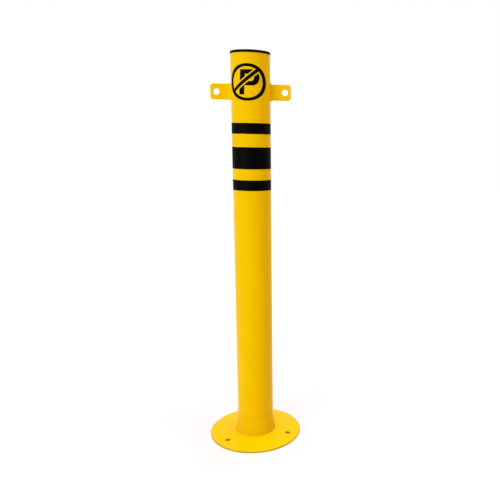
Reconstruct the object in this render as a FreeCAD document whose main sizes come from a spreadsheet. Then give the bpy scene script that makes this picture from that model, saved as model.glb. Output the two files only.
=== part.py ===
import FreeCAD, Part
import os
import Sketcher
from FreeCAD import Vector

doc = FreeCAD.newDocument("SteelBollard")

# Driving sizes, in millimetres, with the one angle in degrees.
sheet = doc.addObject("Spreadsheet::Sheet", "Sizes")
driving_sizes = [
    ("steel_height", 792, "underside of the plate's rim to the tube's top edge"),
    ("tube_diameter", 76.1, "outside of the tube"),
    ("tube_wall", 2, "tube wall"),
    ("plate_diameter", 196, "base plate"),
    ("plate_thickness", 3, "base plate"),
    ("plate_rise", 4.5, "middle of the dished plate above its rim"),
    ("plate_rim", 6, "width of the plate's level rim"),
    ("plate_seat_margin", 3.5, "plate's level middle out beyond the foot collar"),
    ("anchor_circle", 150, "diameter through the anchor holes' centres"),
    ("anchor_hole", 11, "anchor hole diameter"),
    ("anchor_count", 3, "anchor holes, evenly spaced"),
    ("anchor_angle", -16, "first anchor hole, degrees from the right lug"),
    ("collar_foot", 5, "foot collar's thickness where it stands on the plate"),
    ("collar_lip", 0.6, "foot collar's thickness at its upper edge"),
    ("collar_height", 34, "foot collar's height"),
    ("lug_drop", 69, "tube's top edge down to the lug's centre line"),
    ("lug_width", 30, "flat bar width"),
    ("lug_thickness", 4, "flat bar thickness"),
    ("lug_reach", 40, "tube's outside to the lug's end"),
    ("lug_corner", 6, "rounding of the lug's outer corners"),
    ("lug_hole", 12, "chain hole diameter"),
    ("lug_hole_inset", 11.5, "chain hole's centre to the lug's end"),
    ("lug_weld_leg", 4, "lug weld, out over the tube"),
    ("lug_weld_run", 6, "lug weld, along the lug"),
    ("lug_weld_waist", 1.3, "lug weld's thickness at half its run"),
    ("lug_weld_toe", 0.4, "lug weld's thickness where it ends on the lug"),
    ("band_film", 0.25, "thickness of the band film"),
    ("band_drop", 40, "lug weld's lower leg down to the upper band's top edge"),
    ("narrow_band", 20.5, "width of the upper and lower bands"),
    ("wide_band", 42, "width of the middle band"),
    ("upper_band_gap", 25, "bare tube between the upper and middle bands"),
    ("lower_band_gap", 21.5, "bare tube between the middle and lower bands"),
    ("cap_edge", 4.8, "height of the cap's visible edge"),
    ("cap_overhang", 0.5, "cap's edge out beyond the tube"),
    ("cap_edge_bevel", 1.2, "bevel of the cap's upper edge"),
    ("cap_head_wall", 2.6, "thickness of the cap's head inside its rim"),
    ("cap_shank_depth", 24, "cap's shank below the tube's top edge"),
    ("cap_shank_wall", 2.4, "wall of the hollow shank"),
    ("cap_shank_gap", 3, "shank's wall to the tube's bore"),
    ("fin_count", 2, "grip fins round the shank, evenly spaced down it"),
    ("fin_root", 1.6, "fin thickness at the shank"),
    ("fin_tip", 0.8, "fin thickness at the bore"),
    ("fin_clearance", 0.2, "fin tip to the tube's bore"),
]
for row, (name, number, note) in enumerate(driving_sizes, start=1):
    sheet.set(f"A{row}", name)
    sheet.set(f"B{row}", str(number))
    sheet.setAlias(f"B{row}", name)
    sheet.set(f"C{row}", note)
doc.recompute()


class Size:
    """A length together with the sheet formula that gives it."""

    def __init__(self, formula, number):
        self.formula = formula
        self.number = number

    def join(self, sign, other, number):
        right = other.formula if isinstance(other, Size) else str(other)
        return Size(f"({self.formula} {sign} {right})", number)

    def __add__(self, other):
        return self.join("+", other, self.number + number_of(other))

    def __sub__(self, other):
        return self.join("-", other, self.number - number_of(other))

    def __mul__(self, other):
        return self.join("*", other, self.number * number_of(other))

    def __truediv__(self, other):
        return self.join("/", other, self.number / number_of(other))


def number_of(length):
    return length.number if isinstance(length, Size) else length


def size(name):
    return Size(f"Sizes.{name}", float(sheet.get(name)))


ZERO = Size("0", 0.0)


def bind(target, path, length):
    target.setExpression(path, length.formula)


def new_body(label):
    body = doc.addObject("PartDesign::Body", label)
    body.Label = label
    return body


def origin_part(body, role):
    return next(part for part in body.Origin.OriginFeatures if part.Role == role)


def new_sketch(body, role, name, offset=ZERO):
    """A sketch on one of the body's origin planes, moved along the plane's normal by offset."""
    sketch = body.newObject("Sketcher::SketchObject", f"{body.Label}_{name}")
    sketch.AttachmentSupport = (origin_part(body, role), [""])
    sketch.MapMode = "FlatFace"
    bind(sketch, "AttachmentOffset.Base.z", offset)
    return sketch


def place_point(sketch, edge, end, across, up):
    """Fixes one end of a sketch edge at a distance across and up from the sketch's origin."""
    for kind, length in (("DistanceX", across), ("DistanceY", up)):
        rule = Sketcher.Constraint(kind, -1, 1, edge, end, length.number)
        index = sketch.addConstraint(rule)
        bind(sketch, f"Constraints[{index}]", length)


def add_circle(sketch, radius, across=ZERO, up=ZERO):
    centre = Vector(across.number, up.number, 0)
    edge = sketch.addGeometry(Part.Circle(centre, Vector(0, 0, 1), radius.number))
    place_point(sketch, edge, 3, across, up)
    index = sketch.addConstraint(Sketcher.Constraint("Radius", edge, radius.number))
    bind(sketch, f"Constraints[{index}]", radius)


def add_outline(sketch, corners):
    """Closes a loop of straight edges through the corners."""
    spots = [Vector(across.number, up.number, 0) for across, up in corners]
    count = len(corners)
    for i in range(count):
        sketch.addGeometry(Part.LineSegment(spots[i], spots[(i + 1) % count]))
    for i in range(count):
        sketch.addConstraint(Sketcher.Constraint("Coincident", i, 2, (i + 1) % count, 1))
    for i, (across, up) in enumerate(corners):
        place_point(sketch, i, 1, across, up)


def add_feature(body, kind, name, profile):
    feature = body.newObject(f"PartDesign::{kind}", f"{body.Label}_{name}")
    feature.Profile = profile
    return feature


def pad(body, profile, name, length, both_ways=False):
    feature = add_feature(body, "Pad", name, profile)
    feature.Midplane = both_ways
    bind(feature, "Length", length)
    return feature


def cut_through(body, profile, name):
    """Cuts the profile right through the body, both ways from its plane."""
    feature = add_feature(body, "Pocket", name, profile)
    feature.Type = "ThroughAll"
    feature.Midplane = True
    return feature


def turn(body, profile, name):
    """Turns the profile once round the body's upright axis."""
    feature = add_feature(body, "Revolution", name, profile)
    feature.ReferenceAxis = (origin_part(body, "Z_Axis"), [""])
    feature.Angle = 360
    return feature


def round_edges(body, feature, name, radius, chosen):
    """Rounds those edges of the feature that the test picks."""
    doc.recompute()
    edges = [f"Edge{i}" for i, edge in enumerate(feature.Shape.Edges, start=1) if chosen(edge)]
    rounding = body.newObject("PartDesign::Fillet", f"{body.Label}_{name}")
    rounding.Base = (feature, edges)
    bind(rounding, "Radius", radius)


steel_height = size("steel_height")
tube_radius = size("tube_diameter") / 2
bore_radius = tube_radius - size("tube_wall")
plate_thickness = size("plate_thickness")
plate_rise = size("plate_rise")
seat_height = plate_thickness + plate_rise
collar_radius = tube_radius + size("collar_foot")

# Tube: cut square at both ends, standing on the raised middle of the base plate.
tube = new_body("tube")
tube_section = new_sketch(tube, "XY_Plane", "section", seat_height)
add_circle(tube_section, tube_radius)
add_circle(tube_section, bore_radius)
pad(tube, tube_section, "length", steel_height - seat_height)

# Base plate: a disc pressed to a shallow dish, so that it bears on its level rim.
# It is drawn with an anchor hole on +X and then turned, so that the holes lie clear of the lugs' line.
base_plate = new_body("base_plate")
plate_radius = size("plate_diameter") / 2
rim_inside = plate_radius - size("plate_rim")
seat_radius = collar_radius + size("plate_seat_margin")
plate_profile = new_sketch(base_plate, "XZ_Plane", "profile")
add_outline(
    plate_profile,
    [
        (ZERO, seat_height),
        (seat_radius, seat_height),
        (rim_inside, plate_thickness),
        (plate_radius, plate_thickness),
        (plate_radius, ZERO),
        (rim_inside, ZERO),
        (seat_radius, plate_rise),
        (ZERO, plate_rise),
    ],
)
turn(base_plate, plate_profile, "dish")
hole_section = new_sketch(base_plate, "XY_Plane", "hole_section")
add_circle(hole_section, size("anchor_hole") / 2, size("anchor_circle") / 2)
anchor_hole = cut_through(base_plate, hole_section, "hole")
doc.recompute()
anchor_holes = base_plate.newObject("PartDesign::PolarPattern", "base_plate_holes")
anchor_holes.Originals = [anchor_hole]
anchor_holes.Axis = (origin_part(base_plate, "Z_Axis"), [""])
anchor_holes.Angle = 360
bind(anchor_holes, "Occurrences", size("anchor_count"))
base_plate.Tip = anchor_holes
base_plate.setExpression("Placement.Rotation.Angle", "Sizes.anchor_angle * 1 deg")

# Foot collar: a ring round the tube's foot, which thins out upwards and stands on the plate.
foot_collar = new_body("foot_collar")
collar_top = seat_height + size("collar_height")
collar_profile = new_sketch(foot_collar, "XZ_Plane", "profile")
add_outline(
    collar_profile,
    [
        (tube_radius, seat_height),
        (collar_radius, seat_height),
        (tube_radius + size("collar_lip"), collar_top),
        (tube_radius, collar_top),
    ],
)
turn(foot_collar, collar_profile, "ring")

# Chain lugs: flat bar, drawn for the right side with the inner end cut to the tube's curve.
# The left one is the same piece turned half round.
lug_height = steel_height - size("lug_drop")
lug_half_width = size("lug_width") / 2
lug_end = tube_radius + size("lug_reach")
lug_root = tube_radius / 2
HALF_TURN = FreeCAD.Rotation(Vector(0, 0, 1), 180)
SIDES = {"right": FreeCAD.Rotation(), "left": HALF_TURN}
NEAR = 1e-4


def is_lug_corner(edge):
    """True for the lug's two outer corners, which run across its thickness."""
    xs = [vertex.X for vertex in edge.Vertexes]
    level = abs(edge.Vertexes[0].Z - edge.Vertexes[-1].Z) < NEAR
    return len(xs) == 2 and level and all(abs(x - lug_end.number) < NEAR for x in xs)


def make_lug(side):
    lug = new_body(f"{side}_lug")
    outline = new_sketch(lug, "XZ_Plane", "outline")
    low = lug_height - lug_half_width
    high = lug_height + lug_half_width
    add_outline(outline, [(lug_root, low), (lug_end, low), (lug_end, high), (lug_root, high)])
    bar = pad(lug, outline, "bar", size("lug_thickness"), both_ways=True)
    round_edges(lug, bar, "corners", size("lug_corner"), is_lug_corner)
    hole = new_sketch(lug, "XZ_Plane", "hole_section")
    add_circle(hole, size("lug_hole") / 2, lug_end - size("lug_hole_inset"), lug_height)
    cut_through(lug, hole, "hole")
    tube_outside = new_sketch(lug, "XY_Plane", "tube_outside")
    add_circle(tube_outside, tube_radius)
    cut_through(lug, tube_outside, "saddle")
    lug.Placement.Rotation = SIDES[side]
    return lug


# Lug welds: a bead right round each lug's root, thick on the tube and thin where it ends on the lug.
def make_lug_weld(side):
    weld = new_body(f"{side}_lug_weld")
    leg = size("lug_weld_leg")
    run = size("lug_weld_run")
    half_thickness = size("lug_thickness") / 2
    # The widest section lies inside the tube by one leg, so the bead follows the tube's curve.
    stations = [
        (tube_radius - leg, leg + leg),
        (tube_radius, leg),
        (tube_radius + run / 2, size("lug_weld_waist")),
        (tube_radius + run, size("lug_weld_toe")),
    ]
    sections = []
    for i, (distance, cover) in enumerate(stations):
        section = new_sketch(weld, "YZ_Plane", f"section_{i}", distance)
        side_edge = half_thickness + cover
        low = lug_height - lug_half_width - cover
        high = lug_height + lug_half_width + cover
        left_edge = ZERO - side_edge
        corners = [(left_edge, low), (side_edge, low), (side_edge, high), (left_edge, high)]
        add_outline(section, corners)
        sections.append(section)
    bead = add_feature(weld, "AdditiveLoft", "bead", sections[0])
    bead.Sections = sections[1:]
    bead.Ruled = True
    lug_section = new_sketch(weld, "YZ_Plane", "lug_section")
    low = lug_height - lug_half_width
    high = lug_height + lug_half_width
    left_edge = ZERO - half_thickness
    add_outline(lug_section, [(left_edge, low), (half_thickness, low), (half_thickness, high), (left_edge, high)])
    cut_through(weld, lug_section, "lug_slot")
    tube_outside = new_sketch(weld, "XY_Plane", "tube_outside")
    add_circle(tube_outside, tube_radius)
    cut_through(weld, tube_outside, "saddle")
    weld.Placement.Rotation = SIDES[side]
    return weld


lugs = [make_lug(side) for side in SIDES]
lug_welds = [make_lug_weld(side) for side in SIDES]

# Bands: thin film laid round the tube, each placed from the band above it.
film_radius = tube_radius + size("band_film")


def make_band(label, top, width):
    band = new_body(label)
    section = new_sketch(band, "XY_Plane", "section", top - width)
    add_circle(section, film_radius)
    add_circle(section, tube_radius)
    pad(band, section, "film", width)
    return band


narrow_band = size("narrow_band")
wide_band = size("wide_band")
upper_top = lug_height - lug_half_width - size("lug_weld_leg") - size("band_drop")
middle_top = upper_top - narrow_band - size("upper_band_gap")
lower_top = middle_top - wide_band - size("lower_band_gap")
bands = [
    make_band("upper_band", upper_top, narrow_band),
    make_band("middle_band", middle_top, wide_band),
    make_band("lower_band", lower_top, narrow_band),
]

# Top cap: a moulded plug. The head sits on the tube's edge and stands out a little beyond it,
# and the hollow shank hangs inside the bore.
top_cap = new_body("top_cap")
edge_top = steel_height + size("cap_edge")
head_underside = edge_top - size("cap_head_wall")
shank_radius = bore_radius - size("cap_shank_gap")
shank_inside = shank_radius - size("cap_shank_wall")
shank_end = steel_height - size("cap_shank_depth")
edge_bevel = size("cap_edge_bevel")
cap_radius = tube_radius + size("cap_overhang")
cap_profile = new_sketch(top_cap, "XZ_Plane", "profile")
add_outline(
    cap_profile,
    [
        (ZERO, edge_top),
        (cap_radius - edge_bevel, edge_top),
        (cap_radius, edge_top - edge_bevel),
        (cap_radius, steel_height),
        (shank_radius, steel_height),
        (shank_radius, shank_end),
        (shank_inside, shank_end),
        (shank_inside, head_underside),
        (ZERO, head_underside),
    ],
)
turn(top_cap, cap_profile, "plug")

# Grip fins: thin barbed rings, level on top and sloped below so that the plug slides in.
fin_pitch = size("cap_shank_depth") / (size("fin_count") + 1)
fin_inside = shank_radius - size("cap_shank_wall") / 2
fin_outside = bore_radius - size("fin_clearance")
fin_level = steel_height - fin_pitch
fin_profile = new_sketch(top_cap, "XZ_Plane", "fin_profile")
add_outline(
    fin_profile,
    [
        (fin_inside, fin_level - size("fin_root")),
        (fin_outside, fin_level - size("fin_tip")),
        (fin_outside, fin_level),
        (fin_inside, fin_level),
    ],
)
first_fin = turn(top_cap, fin_profile, "fin")
doc.recompute()
fins = top_cap.newObject("PartDesign::LinearPattern", "top_cap_fins")
fins.Originals = [first_fin]
fins.Direction = (origin_part(top_cap, "Z_Axis"), [""])
fins.Reversed = True
bind(fins, "Length", fin_pitch * (size("fin_count") - 1))
bind(fins, "Occurrences", size("fin_count"))
top_cap.Tip = fins

doc.recompute()
sub_parts = [tube, base_plate, foot_collar, *lugs, *lug_welds, *bands, top_cap]
for item in doc.Objects:
    if "Invalid" in item.State or "Error" in item.State:
        raise RuntimeError(f"{item.Label} failed: {item.State}")
for sub_part in sub_parts:
    if sub_part.Shape.isNull() or not sub_part.Shape.isValid():
        raise RuntimeError(f"{sub_part.Label} has no valid shape")

os.makedirs("parts", exist_ok=True)
for sub_part in sub_parts:
    sub_part.Shape.exportStep(f"parts/{sub_part.Label}.step")
    print(f"{sub_part.Label}: {sub_part.Shape.Volume / 1000:.2f} cm3")
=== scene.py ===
import math

import bmesh
import bpy
from mathutils import Matrix, Vector


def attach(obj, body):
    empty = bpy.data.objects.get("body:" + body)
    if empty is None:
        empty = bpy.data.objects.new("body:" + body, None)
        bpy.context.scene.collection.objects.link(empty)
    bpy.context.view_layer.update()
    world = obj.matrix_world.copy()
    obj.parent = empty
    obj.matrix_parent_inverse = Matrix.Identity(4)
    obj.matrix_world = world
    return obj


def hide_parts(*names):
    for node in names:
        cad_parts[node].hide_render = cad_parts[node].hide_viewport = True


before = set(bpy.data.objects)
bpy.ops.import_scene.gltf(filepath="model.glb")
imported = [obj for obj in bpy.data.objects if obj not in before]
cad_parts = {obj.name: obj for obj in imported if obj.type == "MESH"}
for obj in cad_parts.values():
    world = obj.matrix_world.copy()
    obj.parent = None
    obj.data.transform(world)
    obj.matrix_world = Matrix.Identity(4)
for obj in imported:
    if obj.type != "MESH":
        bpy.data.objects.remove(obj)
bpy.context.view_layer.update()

# Base plate: a disc of 3 mm steel sheet, pressed to a shallow dish that bears on its level rim.
# It has three anchor holes on one circle. It is coated in one go with the tube that is welded to it,
# and the coat softens its cut edges.
MM = 0.001
PLATE_DIAMETER = 196 * MM
PLATE_THICKNESS = 3 * MM
PLATE_RISE = 4.5 * MM
PLATE_RIM = 6 * MM
PLATE_SEAT_RADIUS = 46.55 * MM
PLATE_RIM_ROUNDING = 1.2 * MM
PLATE_HOLE_ROUNDING = 0.4 * MM
ANCHOR_CIRCLE = 150 * MM
ANCHOR_HOLE = 11 * MM
ANCHOR_COUNT = 3
ANCHOR_ANGLE = math.radians(-16)
# Steps round circles and roundings, and limits for the work on meshes.
ROUND_STEPS = 240
HOLE_STEPS = 48
ROUNDING_STEPS = 4
RIM_ROLL_STEPS = 5
SHARP_ANGLE = math.radians(40)
LARGE_FACE_LEAD = 100
MERGE_DISTANCE = 0.001 * MM
SAME_PLACE = 0.01 * MM


def linear(hex_colour):
    """Turns an sRGB hex colour into linear red, green, blue and alpha."""
    parts = [int(hex_colour[i:i + 2], 16) / 255 for i in (1, 3, 5)]
    straight = [p / 12.92 if p <= 0.04045 else ((p + 0.055) / 1.055) ** 2.4 for p in parts]
    return (*straight, 1.0)


def add_node(tree, kind, inputs=None, **settings):
    """Adds a node with its settings, and links or sets each input that is named or numbered."""
    node = tree.nodes.new(kind)
    for setting, value in settings.items():
        setattr(node, setting, value)
    for socket, value in (inputs or {}).items():
        if isinstance(value, bpy.types.NodeSocket):
            tree.links.new(value, node.inputs[socket])
        else:
            node.inputs[socket].default_value = value
    return node


def new_material(name):
    """An empty node material with its tree."""
    material = bpy.data.materials.new(name)
    material.use_nodes = True
    material.node_tree.nodes.clear()
    return material, material.node_tree


# Yellow powder coat on steel: sprayed dry and baked, so it flows out smooth but keeps a fine orange peel.
# The eye gets a deep even yellow, slightly deeper where the film is thick, and soft warm highlights.
COAT_DEEP = "#f6c800"
COAT_BRIGHT = "#fdd300"
COAT_SHEEN = "#ffc830"
COAT_DRIFT = 70 * MM
COAT_PEEL = 2.5 * MM
COAT_PEEL_HEIGHT = 0.02 * MM
COAT_GLOSS_PATCH = 9 * MM
COAT_ROUGHNESS = (0.34, 0.44)
COAT_IOR = 1.5
COAT_SPECULAR = 0.12
# The olive colour and the amounts below paint shade onto the coat: along the rim's foot, along its top
# edge, and over the foot collar.
PAINTED_SHADE_OLIVE = "#84881e"
GROUND_PAINTED_SHADE = 0.8
GROUND_SHADE_HEIGHTS = (1.0 * MM, 3.0 * MM)
RIM_PAINTED_SHADE = 0.35
RIM_SHADE_INSETS = (3.2 * MM, 1.6 * MM)
# This amount paints shade over the foot collar.
FOOT_PAINTED_SHADE = 0.22
FOOT_SHADE_HEIGHTS = (14 * MM, 62 * MM)
FOOT_SHADE_REACH = 43.2 * MM
# Most values of a noise pattern lie in this range.
PATCH_RANGE = (0.3, 0.7)
powder_coat, tree = new_material("yellow_powder_coat")
place = add_node(tree, "ShaderNodeTexCoord").outputs["Object"]
drift = add_node(
    tree,
    "ShaderNodeTexNoise",
    {"Vector": place, "Scale": 1 / COAT_DRIFT, "Detail": 2.0, "Roughness": 0.45},
)
film_colour = add_node(
    tree,
    "ShaderNodeMix",
    {"Factor": drift.outputs["Fac"], 6: linear(COAT_DEEP), 7: linear(COAT_BRIGHT)},
    data_type="RGBA",
)
# Painted shade: a thin olive line along the plate's rim, where it meets the ground.
height = add_node(tree, "ShaderNodeSeparateXYZ", {0: place}).outputs["Z"]
ground_shade = add_node(
    tree,
    "ShaderNodeMapRange",
    {
        "Value": height,
        "From Min": GROUND_SHADE_HEIGHTS[0],
        "From Max": GROUND_SHADE_HEIGHTS[1],
        "To Min": GROUND_PAINTED_SHADE,
        "To Max": 0.0,
    },
)
# A fainter line of painted shade lies on top, along the plate's edge.
flat_place = add_node(tree, "ShaderNodeVectorMath", {0: place, 1: (1.0, 1.0, 0.0)}, operation="MULTIPLY")
from_axis = add_node(tree, "ShaderNodeVectorMath", {0: flat_place.outputs[0]}, operation="LENGTH")
rim_shade = add_node(
    tree,
    "ShaderNodeMapRange",
    {
        "Value": from_axis.outputs["Value"],
        "From Min": PLATE_DIAMETER / 2 - RIM_SHADE_INSETS[0],
        "From Max": PLATE_DIAMETER / 2 - RIM_SHADE_INSETS[1],
        "To Min": 0.0,
        "To Max": RIM_PAINTED_SHADE,
    },
)
plate_painted_shade = add_node(
    tree,
    "ShaderNodeMath",
    {0: ground_shade.outputs["Result"], 1: rim_shade.outputs["Result"]},
    operation="MAXIMUM",
)
# Painted shade: the olive colour darkens the foot collar, above the plate, and fades out up the tube.
foot_shade_fade = add_node(
    tree,
    "ShaderNodeMapRange",
    {
        "Value": height,
        "From Min": FOOT_SHADE_HEIGHTS[0],
        "From Max": FOOT_SHADE_HEIGHTS[1],
        "To Min": FOOT_PAINTED_SHADE,
        "To Max": 0.0,
    },
)
near_axis = add_node(
    tree,
    "ShaderNodeMath",
    {0: from_axis.outputs["Value"], 1: FOOT_SHADE_REACH},
    operation="LESS_THAN",
)
above_plate = add_node(
    tree,
    "ShaderNodeMath",
    {0: height, 1: PLATE_RISE + PLATE_THICKNESS / 2},
    operation="GREATER_THAN",
)
on_foot = add_node(
    tree,
    "ShaderNodeMath",
    {0: near_axis.outputs[0], 1: above_plate.outputs[0]},
    operation="MULTIPLY",
)
foot_shade = add_node(
    tree,
    "ShaderNodeMath",
    {0: foot_shade_fade.outputs["Result"], 1: on_foot.outputs[0]},
    operation="MULTIPLY",
)
# Painted shade: the darker of the rim's and the foot's.
dust_and_painted_shade = add_node(
    tree,
    "ShaderNodeMath",
    {0: plate_painted_shade.outputs[0], 1: foot_shade.outputs[0]},
    operation="MAXIMUM",
)
coat_colour = add_node(
    tree,
    "ShaderNodeMix",
    {"Factor": dust_and_painted_shade.outputs[0], 6: film_colour.outputs[2], 7: linear(PAINTED_SHADE_OLIVE)},
    data_type="RGBA",
)
gloss_patch = add_node(
    tree,
    "ShaderNodeTexNoise",
    {"Vector": place, "Scale": 1 / COAT_GLOSS_PATCH, "Detail": 3.0},
)
gloss = add_node(
    tree,
    "ShaderNodeMapRange",
    {
        "Value": gloss_patch.outputs["Fac"],
        "From Min": PATCH_RANGE[0],
        "From Max": PATCH_RANGE[1],
        "To Min": COAT_ROUGHNESS[0],
        "To Max": COAT_ROUGHNESS[1],
    },
)
peel = add_node(
    tree,
    "ShaderNodeTexNoise",
    {"Vector": place, "Scale": 1 / COAT_PEEL, "Detail": 1.0, "Roughness": 0.4},
)
peel_bump = add_node(
    tree,
    "ShaderNodeBump",
    {"Height": peel.outputs["Fac"], "Strength": 0.6, "Distance": COAT_PEEL_HEIGHT},
)
coat_shader = add_node(
    tree,
    "ShaderNodeBsdfPrincipled",
    {
        "Base Color": coat_colour.outputs[2],
        "Roughness": gloss.outputs["Result"],
        "Normal": peel_bump.outputs["Normal"],
        "IOR": COAT_IOR,
        "Specular IOR Level": COAT_SPECULAR,
        "Specular Tint": linear(COAT_SHEEN),
    },
)
add_node(tree, "ShaderNodeOutputMaterial", {"Surface": coat_shader.outputs["BSDF"]})


def new_tree(name, inputs):
    """Starts a geometry node tree with named inputs. Returns the tree and its inputs' sockets."""
    tree = bpy.data.node_groups.new(name, "GeometryNodeTree")
    tree.interface.new_socket(name="Geometry", in_out="OUTPUT", socket_type="NodeSocketGeometry")
    for label, kind in inputs.items():
        tree.interface.new_socket(name=label, in_out="INPUT", socket_type=f"NodeSocket{kind}")
    return tree, add_node(tree, "NodeGroupInput").outputs


def end_tree(tree, shape, finish):
    """Ends a tree: real meshes in place of instances, with their material set."""
    solid = add_node(tree, "GeometryNodeRealizeInstances", {0: shape})
    coated = add_node(tree, "GeometryNodeSetMaterial", {0: solid.outputs[0], "Material": finish})
    add_node(tree, "NodeGroupOutput", {0: coated.outputs[0]})


def baked(piece):
    """Turns a piece's modifiers into plain mesh and removes them."""
    graph = bpy.context.evaluated_depsgraph_get()
    mesh = bpy.data.meshes.new_from_object(piece.evaluated_get(graph))
    piece.modifiers.clear()
    piece.data = mesh
    mesh.name = piece.name


def new_piece(name, mesh=None):
    """An object at the origin that holds a mesh, empty unless one is given."""
    piece = bpy.data.objects.new(name, mesh or bpy.data.meshes.new(name))
    bpy.context.collection.objects.link(piece)
    return piece


def grow(piece, tree, sizes):
    """Runs a node tree on a piece with those values on its named inputs, and keeps the plain mesh."""
    modifier = piece.modifiers.new(tree.name, "NODES")
    modifier.node_group = tree
    for item in tree.interface.items_tree:
        if item.in_out == "INPUT" and item.name in sizes:
            modifier[item.identifier] = sizes[item.name]
    baked(piece)


def smooth(piece, rounding=0.0):
    """Merges doubles, turns faces outwards, rounds sharp edges, and lets large faces lead the shading."""
    work = bmesh.new()
    work.from_mesh(piece.data)
    bmesh.ops.remove_doubles(work, verts=work.verts, dist=MERGE_DISTANCE)
    bmesh.ops.recalc_face_normals(work, faces=work.faces)
    for face in work.faces:
        face.smooth = True
    work.to_mesh(piece.data)
    work.free()
    if rounding:
        bevel = piece.modifiers.new("rounding", "BEVEL")
        bevel.width = rounding
        bevel.segments = ROUNDING_STEPS
        bevel.limit_method = "ANGLE"
        bevel.angle_limit = SHARP_ANGLE
        bevel.use_clamp_overlap = True
    weighted = piece.modifiers.new("shading", "WEIGHTED_NORMAL")
    weighted.mode = "FACE_AREA"
    weighted.weight = LARGE_FACE_LEAD
    baked(piece)


tree, given = new_tree(
    "dished_plate",
    {
        "Plate Radius": "Float",
        "Rim Inside": "Float",
        "Seat Radius": "Float",
        "Thickness": "Float",
        "Rise": "Float",
        "Hole Circle Radius": "Float",
        "Hole Radius": "Float",
        "Hole Count": "Int",
        "First Hole": "Float",
        "Finish": "Material",
    },
)
circles = {}
for label in ("Plate Radius", "Rim Inside", "Seat Radius"):
    circle = add_node(
        tree,
        "GeometryNodeCurvePrimitiveCircle",
        {"Resolution": ROUND_STEPS, "Radius": given[label]},
    )
    circles[label] = circle.outputs[0]
spots = add_node(
    tree,
    "GeometryNodeMeshCircle",
    {"Vertices": given["Hole Count"], "Radius": given["Hole Circle Radius"]},
)
angle = add_node(tree, "ShaderNodeCombineXYZ", {"Z": given["First Hole"]})
turned_spots = add_node(
    tree,
    "GeometryNodeTransform",
    {"Geometry": spots.outputs[0], "Rotation": angle.outputs[0]},
)
hole = add_node(
    tree,
    "GeometryNodeCurvePrimitiveCircle",
    {"Resolution": HOLE_STEPS, "Radius": given["Hole Radius"]},
)
holes = add_node(
    tree,
    "GeometryNodeInstanceOnPoints",
    {"Points": turned_spots.outputs[0], "Instance": hole.outputs[0]},
)
circles["Holes"] = add_node(tree, "GeometryNodeRealizeInstances", {0: holes.outputs[0]}).outputs[0]
# The flat blank is filled zone by zone: the level rim, the sloped part with the holes, the level middle.
blank = add_node(tree, "GeometryNodeJoinGeometry")
for zone in (("Plate Radius", "Rim Inside"), ("Rim Inside", "Seat Radius", "Holes"), ("Seat Radius",)):
    outlines = add_node(tree, "GeometryNodeJoinGeometry")
    for label in zone:
        tree.links.new(circles[label], outlines.inputs[0])
    zone_face = add_node(tree, "GeometryNodeFillCurve", {"Curve": outlines.outputs[0]}, mode="TRIANGLES")
    tree.links.new(zone_face.outputs[0], blank.inputs[0])
whole_blank = add_node(
    tree,
    "GeometryNodeMergeByDistance",
    {0: blank.outputs[0], "Distance": MERGE_DISTANCE},
)
from_axis = add_node(
    tree,
    "ShaderNodeVectorMath",
    {0: add_node(tree, "GeometryNodeInputPosition").outputs[0]},
    operation="LENGTH",
)
pressed = add_node(
    tree,
    "ShaderNodeMapRange",
    {
        "Value": from_axis.outputs["Value"],
        "From Min": given["Rim Inside"],
        "From Max": given["Seat Radius"],
        "To Max": given["Rise"],
    },
)
press = add_node(tree, "ShaderNodeCombineXYZ", {"Z": pressed.outputs["Result"]})
dish = add_node(tree, "GeometryNodeSetPosition", {0: whole_blank.outputs[0], "Offset": press.outputs[0]})
upwards = add_node(tree, "ShaderNodeCombineXYZ", {"Z": 1.0})
raised = add_node(
    tree,
    "GeometryNodeExtrudeMesh",
    {
        "Mesh": dish.outputs[0],
        "Offset": upwards.outputs[0],
        "Offset Scale": given["Thickness"],
        "Individual": False,
    },
)
underside = add_node(tree, "GeometryNodeFlipFaces", {0: dish.outputs[0]})
closed = add_node(tree, "GeometryNodeJoinGeometry", {0: raised.outputs[0]})
tree.links.new(underside.outputs[0], closed.inputs[0])
end_tree(tree, closed.outputs[0], given["Finish"])

base_plate = new_piece("coated_base_plate")
grow(
    base_plate,
    tree,
    {
        "Plate Radius": PLATE_DIAMETER / 2,
        "Rim Inside": PLATE_DIAMETER / 2 - PLATE_RIM,
        "Seat Radius": PLATE_SEAT_RADIUS,
        "Thickness": PLATE_THICKNESS,
        "Rise": PLATE_RISE,
        "Hole Circle Radius": ANCHOR_CIRCLE / 2,
        "Hole Radius": ANCHOR_HOLE / 2,
        "Hole Count": ANCHOR_COUNT,
        "First Hole": ANCHOR_ANGLE,
        "Finish": powder_coat,
    },
)
# The rim's edges are rolled round, more than the coat alone rounds the holes.
rolled = bmesh.new()
rolled.from_mesh(base_plate.data)
bmesh.ops.remove_doubles(rolled, verts=rolled.verts, dist=MERGE_DISTANCE)
rim_edges = []
for edge in rolled.edges:
    start, end = (vert.co for vert in edge.verts)
    on_rim = min(start.xy.length, end.xy.length) > PLATE_DIAMETER / 2 - SAME_PLACE
    if on_rim and abs(start.z - end.z) < SAME_PLACE:
        rim_edges.append(edge)
bmesh.ops.bevel(
    rolled,
    geom=rim_edges,
    offset=PLATE_RIM_ROUNDING,
    segments=RIM_ROLL_STEPS,
    profile=0.5,
    affect="EDGES",
    material=-1,
)
rolled.to_mesh(base_plate.data)
rolled.free()
smooth(base_plate, PLATE_HOLE_ROUNDING)
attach(base_plate, "root")
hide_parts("base_plate")

# Tube: a length of round steel tube with a 2 mm wall, sawn square and stood on the plate's raised middle.
# The coat runs over its sawn top edge and leaves it slightly rounded.
TUBE_DIAMETER = 76.1 * MM
TUBE_WALL = 2 * MM
TUBE_BOTTOM = PLATE_THICKNESS + PLATE_RISE
TUBE_TOP = 792 * MM
TUBE_EDGE_ROUNDING = 0.6 * MM

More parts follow.
